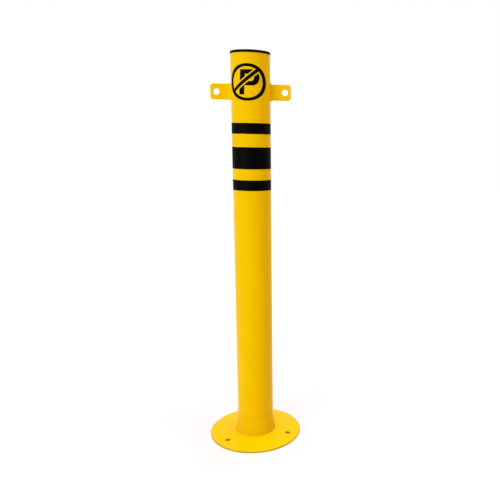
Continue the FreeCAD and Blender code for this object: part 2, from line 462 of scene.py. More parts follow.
tree, given = new_tree(
    "sleeve",
    {
        "Outside Radius": "Float",
        "Wall": "Float",
        "Bottom": "Float",
        "Top": "Float",
        "Edge Rounding": "Float",
        "Finish": "Material",
    },
)
half_wall = add_node(tree, "ShaderNodeMath", {0: given["Wall"], 1: 0.5}, operation="MULTIPLY")
wall_radius = add_node(
    tree,
    "ShaderNodeMath",
    {0: given["Outside Radius"], 1: half_wall.outputs[0]},
    operation="SUBTRACT",
)
height = add_node(tree, "ShaderNodeMath", {0: given["Top"], 1: given["Bottom"]}, operation="SUBTRACT")
half_height = add_node(tree, "ShaderNodeMath", {0: height.outputs[0], 1: 0.5}, operation="MULTIPLY")
middle = add_node(tree, "ShaderNodeMath", {0: given["Bottom"], 1: half_height.outputs[0]}, operation="ADD")
path = add_node(
    tree,
    "GeometryNodeCurvePrimitiveCircle",
    {"Resolution": ROUND_STEPS, "Radius": wall_radius.outputs[0]},
)
section = add_node(
    tree,
    "GeometryNodeCurvePrimitiveQuadrilateral",
    {"Width": given["Wall"], "Height": height.outputs[0]},
)
soft_section = add_node(
    tree,
    "GeometryNodeFilletCurve",
    {
        "Curve": section.outputs[0],
        "Count": ROUNDING_STEPS,
        "Radius": given["Edge Rounding"],
        "Limit Radius": True,
    },
    mode="POLY",
)
sleeve = add_node(
    tree,
    "GeometryNodeCurveToMesh",
    {"Curve": path.outputs[0], "Profile Curve": soft_section.outputs[0]},
)
lift = add_node(tree, "ShaderNodeCombineXYZ", {"Z": middle.outputs[0]})
lifted = add_node(
    tree,
    "GeometryNodeTransform",
    {"Geometry": sleeve.outputs[0], "Translation": lift.outputs[0]},
)
end_tree(tree, lifted.outputs[0], given["Finish"])
sleeve_tree = tree

tube = new_piece("coated_tube")
grow(
    tube,
    sleeve_tree,
    {
        "Outside Radius": TUBE_DIAMETER / 2,
        "Wall": TUBE_WALL,
        "Bottom": TUBE_BOTTOM,
        "Top": TUBE_TOP,
        "Edge Rounding": TUBE_EDGE_ROUNDING,
        "Finish": powder_coat,
    },
)
smooth(tube)
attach(tube, "root")
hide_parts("tube")

# Foot collar: a steel ring pressed over the tube's foot, thick where it stands on the plate.
# It thins out upwards, and the coat fairs its lip into the tube.
COLLAR_FOOT = 5 * MM
COLLAR_LIP = 0.12 * MM
COLLAR_HEIGHT = 34 * MM
COLLAR_EDGE_ROUNDING = 0.4 * MM
COLLAR_BURIED = 0.4 * MM

tree, given = new_tree(
    "tapered_ring",
    {
        "Inside Radius": "Float",
        "Foot": "Float",
        "Lip": "Float",
        "Height": "Float",
        "Bottom": "Float",
        "Edge Rounding": "Float",
        "Finish": "Material",
    },
)
half_lip = add_node(tree, "ShaderNodeMath", {0: given["Lip"], 1: 0.5}, operation="MULTIPLY")
lip_radius = add_node(
    tree,
    "ShaderNodeMath",
    {0: given["Inside Radius"], 1: half_lip.outputs[0]},
    operation="ADD",
)
path = add_node(
    tree,
    "GeometryNodeCurvePrimitiveCircle",
    {"Resolution": ROUND_STEPS, "Radius": lip_radius.outputs[0]},
)
# The section is drawn with the lip below, because it comes out upside down on the circle.
# Its foot is moved outwards, so that the inside stands upright.
taper = add_node(tree, "ShaderNodeMath", {0: given["Foot"], 1: given["Lip"]}, operation="SUBTRACT")
foot_shift = add_node(tree, "ShaderNodeMath", {0: taper.outputs[0], 1: 0.5}, operation="MULTIPLY")
section = add_node(
    tree,
    "GeometryNodeCurvePrimitiveQuadrilateral",
    {
        "Bottom Width": given["Lip"],
        "Top Width": given["Foot"],
        "Offset": foot_shift.outputs[0],
        "Height": given["Height"],
    },
    mode="TRAPEZOID",
)
soft_section = add_node(
    tree,
    "GeometryNodeFilletCurve",
    {
        "Curve": section.outputs[0],
        "Count": ROUNDING_STEPS,
        "Radius": given["Edge Rounding"],
        "Limit Radius": True,
    },
    mode="POLY",
)
ring = add_node(
    tree,
    "GeometryNodeCurveToMesh",
    {"Curve": path.outputs[0], "Profile Curve": soft_section.outputs[0]},
)
half_height = add_node(tree, "ShaderNodeMath", {0: given["Height"], 1: 0.5}, operation="MULTIPLY")
middle = add_node(tree, "ShaderNodeMath", {0: given["Bottom"], 1: half_height.outputs[0]}, operation="ADD")
lift = add_node(tree, "ShaderNodeCombineXYZ", {"Z": middle.outputs[0]})
lifted = add_node(
    tree,
    "GeometryNodeTransform",
    {"Geometry": ring.outputs[0], "Translation": lift.outputs[0]},
)
end_tree(tree, lifted.outputs[0], given["Finish"])

foot_collar = new_piece("coated_foot_collar")
grow(
    foot_collar,
    tree,
    {
        # The inside lies a little within the tube's wall, so that no gap shows at the lip.
        "Inside Radius": TUBE_DIAMETER / 2 - COLLAR_BURIED,
        "Foot": COLLAR_FOOT + COLLAR_BURIED,
        "Lip": COLLAR_LIP + COLLAR_BURIED,
        "Height": COLLAR_HEIGHT,
        "Bottom": TUBE_BOTTOM,
        "Edge Rounding": COLLAR_EDGE_ROUNDING,
        "Finish": powder_coat,
    },
)
smooth(foot_collar)
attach(foot_collar, "root")
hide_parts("foot_collar")

# Chain lugs: two pieces of 30 by 4 mm flat bar, one each side, with rounded outer corners.
# Each has one round hole for a chain or rope, and its inner end is cut to the tube's curve.
LUG_HEIGHT = 723 * MM
LUG_WIDTH = 30 * MM
LUG_THICKNESS = 4 * MM
LUG_REACH = 40 * MM
LUG_BURIED = 0.6 * MM
LUG_CORNER = 6 * MM
LUG_HOLE = 12 * MM
LUG_HOLE_INSET = 11.5 * MM
LUG_EDGE_ROUNDING = 0.6 * MM
LUG_END = TUBE_DIAMETER / 2 + LUG_REACH
LUG_ROOT = TUBE_DIAMETER / 2 - LUG_BURIED
CORNER_STEPS = 10
SIDES = {"right": 1, "left": -1}


def lug_outline():
    """The lug's rounded outline, seen from the front, as across and up."""
    low = LUG_HEIGHT - LUG_WIDTH / 2
    high = LUG_HEIGHT + LUG_WIDTH / 2
    points = [(LUG_ROOT, high), (LUG_ROOT, low)]
    for up, start in ((low + LUG_CORNER, -90), (high - LUG_CORNER, 0)):
        for i in range(CORNER_STEPS + 1):
            turn = math.radians(start + 90 * i / CORNER_STEPS)
            across = LUG_END - LUG_CORNER + LUG_CORNER * math.cos(turn)
            points.append((across, up + LUG_CORNER * math.sin(turn)))
    return points


def flat_bar(name, side):
    """A lug: its face filled round the hole, then given its thickness."""
    work = bmesh.new()
    edges = []
    outline = lug_outline()
    rim = []
    for i in range(HOLE_STEPS):
        turn = 2 * math.pi * i / HOLE_STEPS
        across = LUG_END - LUG_HOLE_INSET + LUG_HOLE / 2 * math.cos(turn)
        rim.append((across, LUG_HEIGHT + LUG_HOLE / 2 * math.sin(turn)))
    for loop in (outline, rim):
        verts = [work.verts.new((side * across, LUG_THICKNESS / 2, up)) for across, up in loop]
        edges += [work.edges.new((verts[i - 1], verts[i])) for i in range(len(verts))]
    bmesh.ops.triangle_fill(work, edges=edges, use_beauty=True)
    swept = bmesh.ops.extrude_face_region(work, geom=work.faces[:])
    moved = [item for item in swept["geom"] if isinstance(item, bmesh.types.BMVert)]
    bmesh.ops.translate(work, verts=moved, vec=(0, -LUG_THICKNESS, 0))
    mesh = bpy.data.meshes.new(name)
    work.to_mesh(mesh)
    work.free()
    mesh.materials.append(powder_coat)
    return mesh


for side, sign in SIDES.items():
    lug = new_piece(f"coated_{side}_lug", flat_bar(f"coated_{side}_lug", sign))
    smooth(lug, LUG_EDGE_ROUNDING)
    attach(lug, "root")
    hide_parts(f"{side}_lug")

# Lug welds: a bead right round each lug's root, which spreads over the tube and follows its curve.
# Its hollow face shows the low ripples of the weld pool, softened by the coat over them.
LUG_WELD_LEG = 2.2 * MM
LUG_WELD_HEAP = {"right": 2.1, "left": 1.2}
LUG_WELD_RUN = 5 * MM
LUG_WELD_HOLLOW = 0.6
LUG_RIPPLE_PITCH = 2.4 * MM
LUG_RIPPLE_HEIGHT = 0.14 * MM
LUG_RIPPLE_BOW = 3 * MM
LUG_WAVER = 0.7 * MM
LUG_WAVER_LENGTH = 7 * MM
ROOT_CORNER = 0.6 * MM
ROOT_STEP = 0.35 * MM
WELD_DEPTH = 0.4 * MM
FACE_STEPS = 10

tree, given = new_tree(
    "weld_ripples",
    {
        "Geometry": "Geometry",
        "Ripple Pitch": "Float",
        "Ripple Height": "Float",
        "Ripple Bow": "Float",
        "Waver": "Float",
        "Waver Length": "Float",
        "Finish": "Material",
    },
)
along = add_node(tree, "GeometryNodeInputNamedAttribute", {"Name": "along"}, data_type="FLOAT").outputs[0]
across = add_node(tree, "GeometryNodeInputNamedAttribute", {"Name": "across"}, data_type="FLOAT").outputs[0]
shown = add_node(tree, "GeometryNodeInputNamedAttribute", {"Name": "shown"}, data_type="FLOAT").outputs[0]
# Each ripple is a crescent: the middle of the face runs ahead of its two edges.
off_middle = add_node(tree, "ShaderNodeMath", {0: across, 1: 0.5}, operation="SUBTRACT")
bend = add_node(
    tree,
    "ShaderNodeMath",
    {0: off_middle.outputs[0], 1: off_middle.outputs[0]},
    operation="MULTIPLY",
)
lag = add_node(tree, "ShaderNodeMath", {0: bend.outputs[0], 1: given["Ripple Bow"]}, operation="MULTIPLY")
spot = add_node(tree, "ShaderNodeMath", {0: along, 1: lag.outputs[0]}, operation="ADD")
turns = add_node(tree, "ShaderNodeMath", {0: spot.outputs[0], 1: given["Ripple Pitch"]}, operation="DIVIDE")
half_turns = add_node(tree, "ShaderNodeMath", {0: turns.outputs[0], 1: math.pi}, operation="MULTIPLY")
wave = add_node(tree, "ShaderNodeMath", {0: half_turns.outputs[0]}, operation="SINE")
scallop = add_node(tree, "ShaderNodeMath", {0: wave.outputs[0]}, operation="ABSOLUTE")
ripple = add_node(
    tree,
    "ShaderNodeMath",
    {0: scallop.outputs[0], 1: given["Ripple Height"]},
    operation="MULTIPLY",
)
waver_scale = add_node(tree, "ShaderNodeMath", {0: 1.0, 1: given["Waver Length"]}, operation="DIVIDE")
waver_noise = add_node(
    tree,
    "ShaderNodeTexNoise",
    {
        "Vector": add_node(tree, "GeometryNodeInputPosition").outputs[0],
        "Scale": waver_scale.outputs[0],
        "Detail": 1.0,
    },
)
waver_rise = add_node(tree, "ShaderNodeMath", {0: waver_noise.outputs["Fac"], 1: 0.5}, operation="SUBTRACT")
waver = add_node(
    tree,
    "ShaderNodeMath",
    {0: waver_rise.outputs[0], 1: given["Waver"]},
    operation="MULTIPLY",
)
rise = add_node(tree, "ShaderNodeMath", {0: ripple.outputs[0], 1: waver.outputs[0]}, operation="ADD")
kept_rise = add_node(tree, "ShaderNodeMath", {0: rise.outputs[0], 1: shown}, operation="MULTIPLY")
push = add_node(
    tree,
    "ShaderNodeVectorMath",
    {0: add_node(tree, "GeometryNodeInputNormal").outputs[0], "Scale": kept_rise.outputs[0]},
    operation="SCALE",
)
rippled = add_node(tree, "GeometryNodeSetPosition", {0: given["Geometry"], "Offset": push.outputs[0]})
end_tree(tree, rippled.outputs[0], given["Finish"])
ripple_tree = tree


def hollow_face(width, height, hollow):
    """Points of a fillet's face from (width, 0) to (0, height), with how far across each lies.

    The face is straight with a hollow of 0, and runs flush into both sides with a hollow of 1."""
    points = []
    for i in range(FACE_STEPS + 1):
        t = i / FACE_STEPS
        pull = t * (1 - t) * (1 - hollow)
        points.append((width * ((1 - t) ** 2 + pull), height * (t ** 2 + pull), t))
    return points


def bead_mesh(name, loops, lengths, acrosses):
    """A closed bead through loops of points. It keeps how far along and across each point lies."""
    count = len(loops)
    size = len(loops[0])
    verts = [point for loop in loops for point in loop]
    faces = []
    for i in range(count):
        for j in range(size):
            near, far = i * size, (i + 1) % count * size
            after = (j + 1) % size
            faces.append((near + j, near + after, far + after, far + j))
    mesh = bpy.data.meshes.new(name)
    mesh.from_pydata(verts, [], faces)
    work = bmesh.new()
    work.from_mesh(mesh)
    bmesh.ops.recalc_face_normals(work, faces=work.faces)
    work.to_mesh(mesh)
    work.free()
    values = {"along": [], "across": [], "shown": []}
    for length in lengths:
        for across in acrosses:
            values["along"].append(length)
            values["across"].append(across if across is not None else 0.0)
            # The ripples fade out at both edges of the face and stay off the hidden sides.
            values["shown"].append(math.sin(math.pi * across) if across is not None else 0.0)
    for label, numbers in values.items():
        mesh.attributes.new(label, "FLOAT", "POINT").data.foreach_set("value", numbers)
    return mesh


def root_path():
    """Points round the lug's section, evenly stepped, each with the way out of the lug there."""
    half_thickness = LUG_THICKNESS / 2 - ROOT_CORNER
    half_width = LUG_WIDTH / 2 - ROOT_CORNER
    points = []
    corners = (
        (half_thickness, half_width, 0),
        (-half_thickness, half_width, 90),
        (-half_thickness, -half_width, 180),
        (half_thickness, -half_width, 270),
    )
    for i, (across, up, start) in enumerate(corners):
        for step in range(CORNER_STEPS):
            turn = math.radians(start + 90 * step / CORNER_STEPS)
            way = (math.cos(turn), math.sin(turn))
            points.append((across + ROOT_CORNER * way[0], up + ROOT_CORNER * way[1], way))
        turn = math.radians(start + 90)
        way = (math.cos(turn), math.sin(turn))
        begin = (across + ROOT_CORNER * way[0], up + ROOT_CORNER * way[1])
        next_across, next_up = corners[(i + 1) % 4][:2]
        end = (next_across + ROOT_CORNER * way[0], next_up + ROOT_CORNER * way[1])
        steps = round(math.dist(begin, end) / ROOT_STEP)
        for step in range(steps):
            t = step / steps
            points.append((begin[0] + t * (end[0] - begin[0]), begin[1] + t * (end[1] - begin[1]), way))
    return points


lug_face = hollow_face(LUG_WELD_RUN, LUG_WELD_LEG, LUG_WELD_HOLLOW)
lug_profile = [(run, rise) for run, rise, t in lug_face]
lug_profile += [(-WELD_DEPTH, LUG_WELD_LEG), (-WELD_DEPTH, -WELD_DEPTH), (LUG_WELD_RUN, -WELD_DEPTH)]
root = root_path()
root_lengths = [0.0]
for i in range(1, len(root)):
    root_lengths.append(root_lengths[-1] + math.dist(root[i - 1][:2], root[i][:2]))
root_length = root_lengths[-1] + math.dist(root[-1][:2], root[0][:2])

for side, sign in SIDES.items():
    weld_loops = []
    for across, up, way in root:
        loop = []
        # The bead is heaped over the lug's top edge, where it was started, most of all on the right lug.
        heap = 1 + (LUG_WELD_HEAP[side] - 1) * max(way[1], 0) ** 2
        for run, full_rise in lug_profile:
            rise = full_rise * heap
            y = across + rise * way[0]
            z = LUG_HEIGHT + up + rise * way[1]
            x = math.sqrt((TUBE_DIAMETER / 2) ** 2 - y * y) + run
            loop.append((sign * x, sign * y, z))
        weld_loops.append(loop)
    lug_weld = new_piece(
        f"coated_{side}_lug_weld",
        bead_mesh(
            f"coated_{side}_lug_weld",
            weld_loops,
            root_lengths,
            [t for run, rise, t in lug_face] + [None, None, None],
        ),
    )
    grow(
        lug_weld,
        ripple_tree,
        {
            "Ripple Pitch": root_length / round(root_length / LUG_RIPPLE_PITCH),
            "Ripple Height": LUG_RIPPLE_HEIGHT,
            "Ripple Bow": LUG_RIPPLE_BOW,
            "Waver": LUG_WAVER,
            "Waver Length": LUG_WAVER_LENGTH,
            "Finish": powder_coat,
        },
    )
    smooth(lug_weld)
    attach(lug_weld, "root")
    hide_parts(f"{side}_lug_weld")

# Bands: three strips of black vinyl film laid round the tube, two narrow with a wide one between.
# They are stuck to the finished coat and stand off it only by their own thickness.
BAND_FILM = 0.25 * MM
BAND_EDGE_ROUNDING = 0.08 * MM
# The height of each band's top edge, and its width.
BANDS = {
    "upper_band": (664 * MM, 20.5 * MM),
    "middle_band": (618.5 * MM, 42 * MM),
    "lower_band": (555 * MM, 20.5 * MM),
}

# Black vinyl film: calendered plastic with a half-matt face, laid by hand with a squeegee.
# The eye gets a dense black with a broad dull sheen that breaks up slightly where the film is dusty.
# Its real grain is finer than a pixel, so it is drawn coarser here.
FILM_BLACK = "#020202"
FILM_DUSTY = "#060504"
FILM_DUST_PATCH = 12 * MM
FILM_GRAIN = 1.2 * MM
FILM_GRAIN_HEIGHT = 0.01 * MM
FILM_ROUGHNESS = (0.4, 0.5)
FILM_IOR = 1.5
FILM_SPECULAR = 0.02
black_film, tree = new_material("black_vinyl_film")
place = add_node(tree, "ShaderNodeTexCoord").outputs["Object"]
dust_and_painted_shade = add_node(
    tree,
    "ShaderNodeTexNoise",
    {"Vector": place, "Scale": 1 / FILM_DUST_PATCH, "Detail": 4.0, "Roughness": 0.6},
)
film_tone = add_node(
    tree,
    "ShaderNodeMix",
    {"Factor": dust_and_painted_shade.outputs["Fac"], 6: linear(FILM_BLACK), 7: linear(FILM_DUSTY)},
    data_type="RGBA",
)
film_gloss = add_node(
    tree,
    "ShaderNodeMapRange",
    {
        "Value": dust_and_painted_shade.outputs["Fac"],
        "From Min": PATCH_RANGE[0],
        "From Max": PATCH_RANGE[1],
        "To Min": FILM_ROUGHNESS[0],
        "To Max": FILM_ROUGHNESS[1],
    },
)
grain = add_node(tree, "ShaderNodeTexNoise", {"Vector": place, "Scale": 1 / FILM_GRAIN, "Detail": 1.0})
grain_bump = add_node(
    tree,
    "ShaderNodeBump",
    {"Height": grain.outputs["Fac"], "Strength": 0.5, "Distance": FILM_GRAIN_HEIGHT},
)
film_shader = add_node(
    tree,
    "ShaderNodeBsdfPrincipled",
    {
        "Base Color": film_tone.outputs[2],
        "Roughness": film_gloss.outputs["Result"],
        "Normal": grain_bump.outputs["Normal"],
        "IOR": FILM_IOR,
        "Specular IOR Level": FILM_SPECULAR,
    },
)
add_node(tree, "ShaderNodeOutputMaterial", {"Surface": film_shader.outputs["BSDF"]})

for name, (top, width) in BANDS.items():
    band = new_piece(f"film_{name}")
    grow(
        band,
        sleeve_tree,
        {
            "Outside Radius": TUBE_DIAMETER / 2 + BAND_FILM,
            "Wall": BAND_FILM,
            "Bottom": top - width,
            "Top": top,
            "Edge Rounding": BAND_EDGE_ROUNDING,
            "Finish": black_film,
        },
    )
    smooth(band)
    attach(band, "root")
    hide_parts(name)

# Sign: the common no-parking pictogram, cut from the same black film and stuck to the tube's front.
# It is drawn flat in millimetres, as across and up from its middle, and then wrapped round the tube.
SIGN_ACROSS = -2.8
SIGN_HEIGHT = 738.5
SIGN_FILM = 0.18
SIGN_SUNK = 0.05
# Half the ring's width and height, and its stroke at the sides and at the top.
RING_OUTER = (39.8, 33.7)
RING_STROKE = (8.6, 5.4)
RING_STEPS = 180
SLASH_RISE = 6.3
SLASH_SLOPE = 0.768
SLASH_WIDTH = 6.1
SLASH_GAP = 2.5
SLASH_FROM = -32.5
SLASH_TO = 25.0
SLASH_LOWER = 0.04
# The letter: its stem's edges, its round bowl, and the counter inside the bowl.
LETTER_FOOT = -22.4
STEM_FOOT = (-15.6, -5.5)
STEM_TOP = -12.8
STEM_AT_BOWL = -4.9
BOWL_CENTRE = (10.1, 8.55)
BOWL_RADIUS = 14.35
COUNTER_CENTRE = (7.2, 8.28)
COUNTER_RADIUS = 6.53
COUNTER_LEFT = (-4.2, -3.4)
WRAP_STEP = 1.0
CUT_TOLERANCE = 1e-5
ARC_STEPS = 16


def arc_points(centre, radius, first, last):
    """Points on an arc between two angles in degrees."""
    points = []
    for i in range(ARC_STEPS + 1):
        turn = math.radians(first + (last - first) * i / ARC_STEPS)
        points.append((centre[0] + radius * math.cos(turn), centre[1] + radius * math.sin(turn)))
    return points


def ellipse_points(half_width, half_height):
    """Points round an ellipse about the sign's middle."""
    turns = [2 * math.pi * i / RING_STEPS for i in range(RING_STEPS)]
    return [(half_width * math.cos(turn), half_height * math.sin(turn)) for turn in turns]


def fill_flat(work, loops):
    """Fills flat loops, the later ones being holes."""
    edges = []
    for loop in loops:
        verts = [work.verts.new((across, 0, up)) for across, up in loop]
        edges += [work.edges.new((verts[i - 1], verts[i])) for i in range(len(verts))]
    bmesh.ops.triangle_fill(work, edges=edges, use_beauty=True)


def cut(work, point, normal, clear=False):
    """Cuts everything along a plane, and clears what lies on its normal's side if asked."""
    geometry = work.verts[:] + work.edges[:] + work.faces[:]
    bmesh.ops.bisect_plane(
        work,
        geom=geometry,
        dist=CUT_TOLERANCE,
        plane_co=point,
        plane_no=normal,
        clear_outer=clear,
    )


def wrap(work, film):
    """Cuts a flat shape into upright strips, gives it the film's thickness and bends it round the tube."""
    lowest = min(vert.co.x for vert in work.verts)
    highest = max(vert.co.x for vert in work.verts)
    for i in range(1, math.ceil((highest - lowest) / WRAP_STEP)):
        cut(work, (lowest + i * WRAP_STEP, 0, 0), (1, 0, 0))
    swept = bmesh.ops.extrude_face_region(work, geom=work.faces[:])
    front = {item for item in swept["geom"] if isinstance(item, bmesh.types.BMVert)}
    tube_radius = TUBE_DIAMETER / 2 / MM
    for vert in work.verts:
        # The back of the film is sunk a little, so that no light passes under it.
        radius = tube_radius + (film if vert in front else -SIGN_SUNK)
        turn = (vert.co.x + SIGN_ACROSS) / tube_radius
        vert.co = Vector((radius * math.sin(turn), -radius * math.cos(turn), SIGN_HEIGHT + vert.co.z)) * MM


slash_side = Vector((-SLASH_SLOPE, 0, 1)).normalized()
slash_middle = Vector((0, 0, SLASH_RISE))

ring_work = bmesh.new()
ring_inner = [outer - stroke for outer, stroke in zip(RING_OUTER, RING_STROKE)]
fill_flat(ring_work, [ellipse_points(*RING_OUTER), ellipse_points(*ring_inner)])
wrap(ring_work, SIGN_FILM)

slash_work = bmesh.new()
slash_ends = [slash_middle + Vector((x, 0, SLASH_SLOPE * x)) for x in (SLASH_FROM, SLASH_TO)]
half_slash = slash_side * SLASH_WIDTH / 2
slash_corners = [
    slash_ends[0] - half_slash,
    slash_ends[1] - half_slash,
    slash_ends[1] + half_slash,
    slash_ends[0] + half_slash,
]
fill_flat(slash_work, [[(corner.x, corner.z) for corner in slash_corners]])
# The slash runs on under the ring, a little lower than it.
wrap(slash_work, SIGN_FILM - SLASH_LOWER)

letter_outline = [(across, LETTER_FOOT) for across in STEM_FOOT]
letter_outline.append((STEM_AT_BOWL, BOWL_CENTRE[1] - BOWL_RADIUS))
letter_outline += arc_points(BOWL_CENTRE, BOWL_RADIUS, -90, 90)
letter_outline.append((STEM_TOP, BOWL_CENTRE[1] + BOWL_RADIUS))
letter_counter = [(COUNTER_LEFT[0], COUNTER_CENTRE[1] - COUNTER_RADIUS)]
letter_counter += arc_points(COUNTER_CENTRE, COUNTER_RADIUS, -90, 90)
letter_counter.append((COUNTER_LEFT[1], COUNTER_CENTRE[1] + COUNTER_RADIUS))
letter_works = []
for way in (1, -1):
    # The slash and a bare strip each side of it part the letter in two.
    letter_work = bmesh.new()
    fill_flat(letter_work, [letter_outline, letter_counter])
    clear_of = slash_middle + slash_side * way * (SLASH_WIDTH / 2 + SLASH_GAP)
    cut(letter_work, clear_of, slash_side * -way, clear=True)
    wrap(letter_work, SIGN_FILM)
    letter_works.append(letter_work)

sign_mesh = bpy.data.meshes.new("film_sign")
sign_work = bmesh.new()
for part in (ring_work, slash_work, *letter_works):
    part.to_mesh(sign_mesh)
    part.free()
    sign_work.from_mesh(sign_mesh)
sign_work.to_mesh(sign_mesh)
sign_work.free()
sign_mesh.materials.append(black_film)
sign = new_piece("film_sign", sign_mesh)
smooth(sign)
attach(sign, "root")

# Top cap: a moulded black plug pushed into the tube, with its rim just proud of the tube's outside.
# Only the rim and the top show, which has sunk a little in cooling. The hollow shank grips the bore
# with two barbed fins.
CAP_EDGE = 4.8 * MM
CAP_OVERHANG = 0.5 * MM
CAP_SINK = 0.4 * MM
CAP_EDGE_ROUNDING = 1.2 * MM
CAP_LIP_ROUNDING = 0.3 * MM
CAP_HEAD_WALL = 2.6 * MM
CAP_SHANK_DEPTH = 24 * MM
CAP_SHANK_WALL = 2.4 * MM
CAP_SHANK_GAP = 3 * MM
FIN_COUNT = 2
FIN_ROOT = 1.6 * MM
FIN_TIP = 0.8 * MM
FIN_CLEARANCE = 0.2 * MM
CAP_STEPS = 160
SINK_STEPS = 12

# Black moulded polyethylene: taken from a spark-eroded mould, so its face is satin with a fine grain.
# The eye gets a soft grey highlight along the rounded rim and an otherwise even black.
# The mould's real grain is finer than a pixel, so it is drawn coarser here.
PLASTIC_BLACK = "#040404"
PLASTIC_WORN = "#090807"
PLASTIC_PATCH = 10 * MM
PLASTIC_GRAIN = 0.9 * MM
PLASTIC_GRAIN_HEIGHT = 0.02 * MM
PLASTIC_ROUGHNESS = (0.38, 0.5)
PLASTIC_IOR = 1.5
PLASTIC_SPECULAR = 0.03
black_plastic, tree = new_material("black_moulded_polyethylene")
place = add_node(tree, "ShaderNodeTexCoord").outputs["Object"]
patch = add_node(tree, "ShaderNodeTexNoise", {"Vector": place, "Scale": 1 / PLASTIC_PATCH, "Detail": 3.0})
plastic_tone = add_node(
    tree,
    "ShaderNodeMix",
    {"Factor": patch.outputs["Fac"], 6: linear(PLASTIC_BLACK), 7: linear(PLASTIC_WORN)},
    data_type="RGBA",
)
plastic_gloss = add_node(
    tree,
    "ShaderNodeMapRange",
    {
        "Value": patch.outputs["Fac"],
        "From Min": PATCH_RANGE[0],
        "From Max": PATCH_RANGE[1],
        "To Min": PLASTIC_ROUGHNESS[0],
        "To Max": PLASTIC_ROUGHNESS[1],
    },
)
mould_grain = add_node(
    tree,
    "ShaderNodeTexNoise",
    {"Vector": place, "Scale": 1 / PLASTIC_GRAIN, "Detail": 1.0},
)
mould_bump = add_node(
    tree,
    "ShaderNodeBump",
    {"Height": mould_grain.outputs["Fac"], "Strength": 0.5, "Distance": PLASTIC_GRAIN_HEIGHT},
)
plastic_shader = add_node(
    tree,
    "ShaderNodeBsdfPrincipled",
    {
        "Base Color": plastic_tone.outputs[2],
        "Roughness": plastic_gloss.outputs["Result"],
        "Normal": mould_bump.outputs["Normal"],
        "IOR": PLASTIC_IOR,
        "Specular IOR Level": PLASTIC_SPECULAR,
    },
)
add_node(tree, "ShaderNodeOutputMaterial", {"Surface": plastic_shader.outputs["BSDF"]})

tree, given = new_tree(
    "grip_fins",
    {
        "Geometry": "Geometry",
        "Fin Count": "Int",
        "Fin Spacing": "Float",
        "First Fin": "Float",
        "Root Radius": "Float",
        "Tip Radius": "Float",
        "Root Thickness": "Float",
        "Tip Thickness": "Float",
        "Finish": "Material",
    },
)
reach = add_node(
    tree,
    "ShaderNodeMath",
    {0: given["Tip Radius"], 1: given["Root Radius"]},
    operation="SUBTRACT",
)
root_drop = add_node(tree, "ShaderNodeMath", {0: given["Root Thickness"], 1: -1.0}, operation="MULTIPLY")
tip_drop = add_node(tree, "ShaderNodeMath", {0: given["Tip Thickness"], 1: -1.0}, operation="MULTIPLY")
# The barb's section hangs from the root: level on top, sloped below.
tip_top = add_node(tree, "ShaderNodeCombineXYZ", {"X": reach.outputs[0]})
tip_low = add_node(tree, "ShaderNodeCombineXYZ", {"X": reach.outputs[0], "Y": tip_drop.outputs[0]})
root_low = add_node(tree, "ShaderNodeCombineXYZ", {"Y": root_drop.outputs[0]})
barb = add_node(
    tree,
    "GeometryNodeCurvePrimitiveQuadrilateral",
    {
        "Point 1": (0.0, 0.0, 0.0),
        "Point 2": tip_top.outputs[0],
        "Point 3": tip_low.outputs[0],
        "Point 4": root_low.outputs[0],
    },
    mode="POINTS",
)
fin_path = add_node(
    tree,
    "GeometryNodeCurvePrimitiveCircle",
    {"Resolution": CAP_STEPS, "Radius": given["Root Radius"]},
)
fin = add_node(
    tree,
    "GeometryNodeCurveToMesh",
    {"Curve": fin_path.outputs[0], "Profile Curve": barb.outputs[0]},
)
first = add_node(tree, "ShaderNodeCombineXYZ", {"Z": given["First Fin"]})
drop = add_node(tree, "ShaderNodeMath", {0: given["Fin Spacing"], 1: -1.0}, operation="MULTIPLY")
step = add_node(tree, "ShaderNodeCombineXYZ", {"Z": drop.outputs[0]})
levels = add_node(
    tree,
    "GeometryNodeMeshLine",
    {"Count": given["Fin Count"], "Start Location": first.outputs[0], "Offset": step.outputs[0]},
)
fins = add_node(
    tree,
    "GeometryNodeInstanceOnPoints",
    {"Points": levels.outputs[0], "Instance": fin.outputs[0]},
)
plug = add_node(tree, "GeometryNodeJoinGeometry", {0: given["Geometry"]})
tree.links.new(fins.outputs[0], plug.inputs[0])
end_tree(tree, plug.outputs[0], given["Finish"])


def turned(name, profile):
    """Turns an open profile of radius and height once round the upright axis, closed at both poles."""
    work = bmesh.new()
    verts = [work.verts.new((radius, 0, up)) for radius, up in profile]
    edges = [work.edges.new((verts[i], verts[i + 1])) for i in range(len(verts) - 1)]
    bmesh.ops.spin(
        work,
        geom=verts + edges,
        cent=(0, 0, 0),
        axis=(0, 0, 1),
        angle=2 * math.pi,
        steps=CAP_STEPS,
        use_merge=True,
    )
    bmesh.ops.remove_doubles(work, verts=work.verts, dist=MERGE_DISTANCE)
    bmesh.ops.recalc_face_normals(work, faces=work.faces)
    mesh = bpy.data.meshes.new(name)
    work.to_mesh(mesh)
    work.free()
    return mesh


